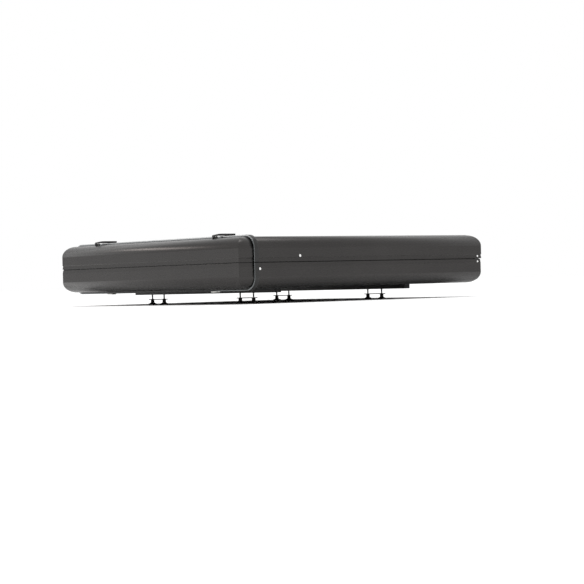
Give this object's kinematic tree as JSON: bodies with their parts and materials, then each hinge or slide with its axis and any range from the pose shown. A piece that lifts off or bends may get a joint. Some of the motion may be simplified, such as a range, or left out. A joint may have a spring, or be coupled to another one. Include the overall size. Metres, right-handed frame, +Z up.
{
  "type": "roof cargo box",
  "caption": "Hard-shell roof cargo box with mitred aluminium walls, a strap-hinged lid on gas springs, a hook lock, and roof rails with crossbar clamps.",
  "frame": {"origin": "middle of the footprint, level with the undersides of the clamp knobs", "axes": "+X across the car from the hinge side to the lock side, +Y along the car from the front wall to the rear wall, +Z up"},
  "size_m": [1.4, 1.454, 0.306],
  "materials": {
    "shell_paint": "dark satin metallic paint over extruded aluminium",
    "sheet_paint": "dark satin metallic paint over sheet aluminium",
    "hoop_metal": "dark satin metal with a bright edge",
    "black_steel": "black powder coat",
    "plated_steel": "zinc plated",
    "rail_black": "black anodised",
    "black_plastic": "moulded",
    "handle_metal": "satin",
    "spring_tube": "gloss black",
    "spring_rod": "ground and plated",
    "seal_rubber": "matte",
    "floor_felt": "needle felt"
  },
  "bodies": {
    "base": {"base_wall_front": "shell_paint", "base_wall_rear": "shell_paint", "base_wall_left": "shell_paint", "base_wall_right": "shell_paint", "spine_wall": "shell_paint", "spine_end_front": "shell_paint", "spine_end_rear": "shell_paint", "spine_strip": "seal_rubber", "hinge_seal": "seal_rubber", "floor_panel": "sheet_paint", "floor_liner": "floor_felt", "base_band": "hoop_metal", "band_clips": "plated_steel", "seam_gasket": "seal_rubber", "rail_left": "rail_black", "rail_right": "rail_black", "rail_caps": "black_plastic", "rail_bolts": "plated_steel", "hinge_leaf_front": "black_steel", "hinge_leaf_rear": "black_steel", "hinge_pins": "plated_steel", "strut_studs_base": "plated_steel", "corner_bolts_base": "plated_steel", "lock_strikers": "black_steel", "tie_downs": "black_steel"},
    "lid": {"lid_wall_front": "shell_paint", "lid_wall_rear": "shell_paint", "lid_wall_right": "shell_paint", "lid_hoop": "hoop_metal", "lid_panel": "sheet_paint", "hinge_strap_front": "black_steel", "hinge_strap_rear": "black_steel", "strap_screws": "plated_steel", "strut_studs_lid": "plated_steel", "corner_bolts_lid": "plated_steel", "lock_bearings": "black_plastic", "lock_dish": "black_plastic"},
    "lock_bar": {"lock_bar": "plated_steel"},
    "lock_handle": {"lock_handle": "handle_metal"},
    "key_barrel": {"key_barrel": "plated_steel"},
    "strut_cylinder_front": {"strut_cylinder_front": "spring_tube"},
    "strut_rod_front": {"strut_rod_front": "spring_rod"},
    "strut_cylinder_rear": {"strut_cylinder_rear": "spring_tube"},
    "strut_rod_rear": {"strut_rod_rear": "spring_rod"},
    "clamp_bolts_front_left": {"clamp_bolts_front_left": "plated_steel"},
    "clamp_plate_front_left": {"clamp_plate_front_left": "black_steel"},
    "clamp_knob_front_left_a": {"clamp_knob_front_left_a": "black_plastic"},
    "clamp_knob_front_left_b": {"clamp_knob_front_left_b": "black_plastic"},
    "clamp_bolts_front_right": {"clamp_bolts_front_right": "plated_steel"},
    "clamp_plate_front_right": {"clamp_plate_front_right": "black_steel"},
    "clamp_knob_front_right_a": {"clamp_knob_front_right_a": "black_plastic"},
    "clamp_knob_front_right_b": {"clamp_knob_front_right_b": "black_plastic"},
    "clamp_bolts_rear_left": {"clamp_bolts_rear_left": "plated_steel"},
    "clamp_plate_rear_left": {"clamp_plate_rear_left": "black_steel"},
    "clamp_knob_rear_left_a": {"clamp_knob_rear_left_a": "black_plastic"},
    "clamp_knob_rear_left_b": {"clamp_knob_rear_left_b": "black_plastic"},
    "clamp_bolts_rear_right": {"clamp_bolts_rear_right": "plated_steel"},
    "clamp_plate_rear_right": {"clamp_plate_rear_right": "black_steel"},
    "clamp_knob_rear_right_a": {"clamp_knob_rear_right_a": "black_plastic"},
    "clamp_knob_rear_right_b": {"clamp_knob_rear_right_b": "black_plastic"}
  },
  "joints": [
    {"name": "lid_hinge", "type": "hinge", "parent": "base", "child": "lid", "pos_m": [-0.65, 0.0005, 0.294], "axis": [0, -1, 0], "range_deg": [0, 42]},
    {"name": "strut_front_base_pivot", "type": "hinge", "parent": "base", "child": "strut_cylinder_front", "pos_m": [-0.59, -0.652, 0.149], "axis": [0, -1, 0], "range_deg": [0, 39.5]},
    {"name": "strut_front_lid_pivot", "type": "hinge", "parent": "lid", "child": "strut_rod_front", "pos_m": [-0.373, -0.652, 0.202], "axis": [0, -1, 0], "range_deg": [-3.5, 0]},
    {"name": "strut_rear_base_pivot", "type": "hinge", "parent": "base", "child": "strut_cylinder_rear", "pos_m": [-0.59, 0.652, 0.149], "axis": [0, -1, 0], "range_deg": [0, 39.5]},
    {"name": "strut_rear_lid_pivot", "type": "hinge", "parent": "lid", "child": "strut_rod_rear", "pos_m": [-0.373, 0.652, 0.202], "axis": [0, -1, 0], "range_deg": [-3.5, 0]},
    {"name": "lock_handle_turn", "type": "hinge", "parent": "lid", "child": "lock_handle", "pos_m": [0.7, 0, 0.2135], "axis": [1, 0, 0], "range_deg": [0, 90]},
    {"name": "lock_bar_turn", "type": "hinge", "parent": "lid", "child": "lock_bar", "pos_m": [0.636, 0, 0.198], "axis": [0, -1, 0], "range_deg": [0, 35]},
    {"name": "key_turn", "type": "hinge", "parent": "lock_handle", "child": "key_barrel", "pos_m": [0.699, 0, 0.2135], "axis": [1, 0, 0], "range_deg": [0, 90]},
    {"name": "clamp_slide_front_left", "type": "slide", "parent": "base", "child": "clamp_bolts_front_left", "axis": [0, 1, 0], "range_m": [-0.15, 0.24]},
    {"name": "clamp_open_front_left", "type": "slide", "parent": "clamp_bolts_front_left", "child": "clamp_plate_front_left", "axis": [0, 0, -1], "range_m": [0, 0.012]},
    {"name": "knob_turn_front_left_a", "type": "hinge", "parent": "clamp_plate_front_left", "child": "clamp_knob_front_left_a", "pos_m": [-0.375, -0.378, 0.008], "axis": [0, 0, 1], "continuous": true},
    {"name": "knob_turn_front_left_b", "type": "hinge", "parent": "clamp_plate_front_left", "child": "clamp_knob_front_left_b", "pos_m": [-0.375, -0.278, 0.008], "axis": [0, 0, 1], "continuous": true},
    {"name": "clamp_slide_front_right", "type": "slide", "parent": "base", "child": "clamp_bolts_front_right", "axis": [0, 1, 0], "range_m": [-0.15, 0.24]},
    {"name": "clamp_open_front_right", "type": "slide", "parent": "clamp_bolts_front_right", "child": "clamp_plate_front_right", "axis": [0, 0, -1], "range_m": [0, 0.012]},
    {"name": "knob_turn_front_right_a", "type": "hinge", "parent": "clamp_plate_front_right", "child": "clamp_knob_front_right_a", "pos_m": [0.375, -0.378, 0.008], "axis": [0, 0, 1], "continuous": true},
    {"name": "knob_turn_front_right_b", "type": "hinge", "parent": "clamp_plate_front_right", "child": "clamp_knob_front_right_b", "pos_m": [0.375, -0.278, 0.008], "axis": [0, 0, 1], "continuous": true},
    {"name": "clamp_slide_rear_left", "type": "slide", "parent": "base", "child": "clamp_bolts_rear_left", "axis": [0, 1, 0], "range_m": [-0.29, 0.1]},
    {"name": "clamp_open_rear_left", "type": "slide", "parent": "clamp_bolts_rear_left", "child": "clamp_plate_rear_left", "axis": [0, 0, -1], "range_m": [0, 0.012]},
    {"name": "knob_turn_rear_left_a", "type": "hinge", "parent": "clamp_plate_rear_left", "child": "clamp_knob_rear_left_a", "pos_m": [-0.375, 0.334, 0.008], "axis": [0, 0, 1], "continuous": true},
    {"name": "knob_turn_rear_left_b", "type": "hinge", "parent": "clamp_plate_rear_left", "child": "clamp_knob_rear_left_b", "pos_m": [-0.375, 0.434, 0.008], "axis": [0, 0, 1], "continuous": true},
    {"name": "clamp_slide_rear_right", "type": "slide", "parent": "base", "child": "clamp_bolts_rear_right", "axis": [0, 1, 0], "range_m": [-0.29, 0.1]},
    {"name": "clamp_open_rear_right", "type": "slide", "parent": "clamp_bolts_rear_right", "child": "clamp_plate_rear_right", "axis": [0, 0, -1], "range_m": [0, 0.012]},
    {"name": "knob_turn_rear_right_a", "type": "hinge", "parent": "clamp_plate_rear_right", "child": "clamp_knob_rear_right_a", "pos_m": [0.375, 0.334, 0.008], "axis": [0, 0, 1], "continuous": true},
    {"name": "knob_turn_rear_right_b", "type": "hinge", "parent": "clamp_plate_rear_right", "child": "clamp_knob_rear_right_b", "pos_m": [0.375, 0.434, 0.008], "axis": [0, 0, 1], "continuous": true}
  ],
  "couplings": [
    {"joint": "strut_front_base_pivot", "follows": "lid_hinge", "ratio": 0.9265},
    {"joint": "strut_front_lid_pivot", "follows": "lid_hinge", "ratio": -0.0735},
    {"joint": "strut_rear_base_pivot", "follows": "lid_hinge", "ratio": 0.9265},
    {"joint": "strut_rear_lid_pivot", "follows": "lid_hinge", "ratio": -0.0735},
    {"joint": "lock_bar_turn", "follows": "lock_handle_turn", "ratio": 0.38889}
  ]
}
